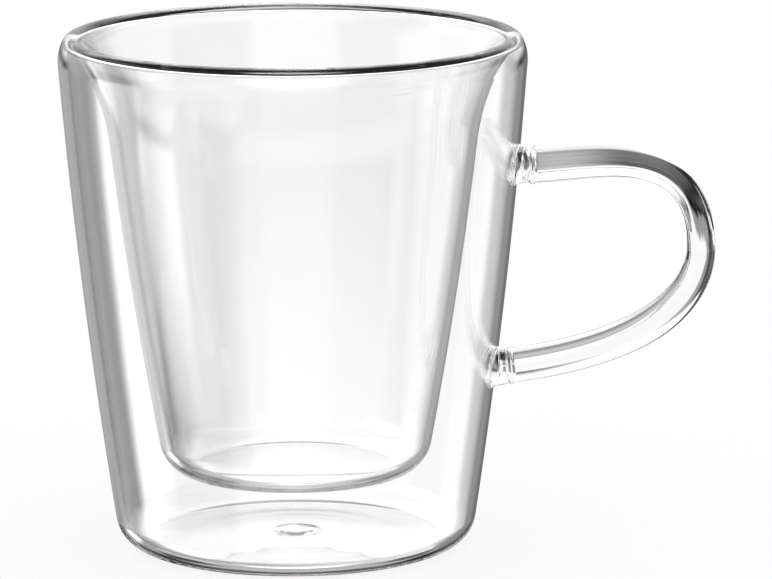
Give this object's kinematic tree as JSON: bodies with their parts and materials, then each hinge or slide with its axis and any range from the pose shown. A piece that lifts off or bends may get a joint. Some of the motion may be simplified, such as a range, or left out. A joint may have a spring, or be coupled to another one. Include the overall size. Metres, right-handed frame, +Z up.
{
  "type": "double walled glass cup",
  "caption": "Tapered clear glass cup with double walls round a sealed air gap, a rounded fused rim and a bent glass rod handle welded to the outer wall.",
  "frame": {"origin": "centre of the foot ring on the plane that the cup rests on", "axes": "+Z up the cup's axis to the rim, +X from the axis to the handle, +Y completes a right-handed frame"},
  "size_m": [0.1192, 0.085, 0.094],
  "materials": {
    "wall_glass": "clear blown borosilicate glass, fire polished",
    "handle_glass": "clear solid borosilicate rod, bent and welded hot"
  },
  "bodies": {
    "root": {"outer_shell": "wall_glass", "inner_beaker": "wall_glass", "rim_seal": "wall_glass", "vent_seal": "wall_glass", "handle_bar": "handle_glass", "upper_handle_weld": "handle_glass", "lower_handle_weld": "handle_glass"}
  },
  "joints": []
}
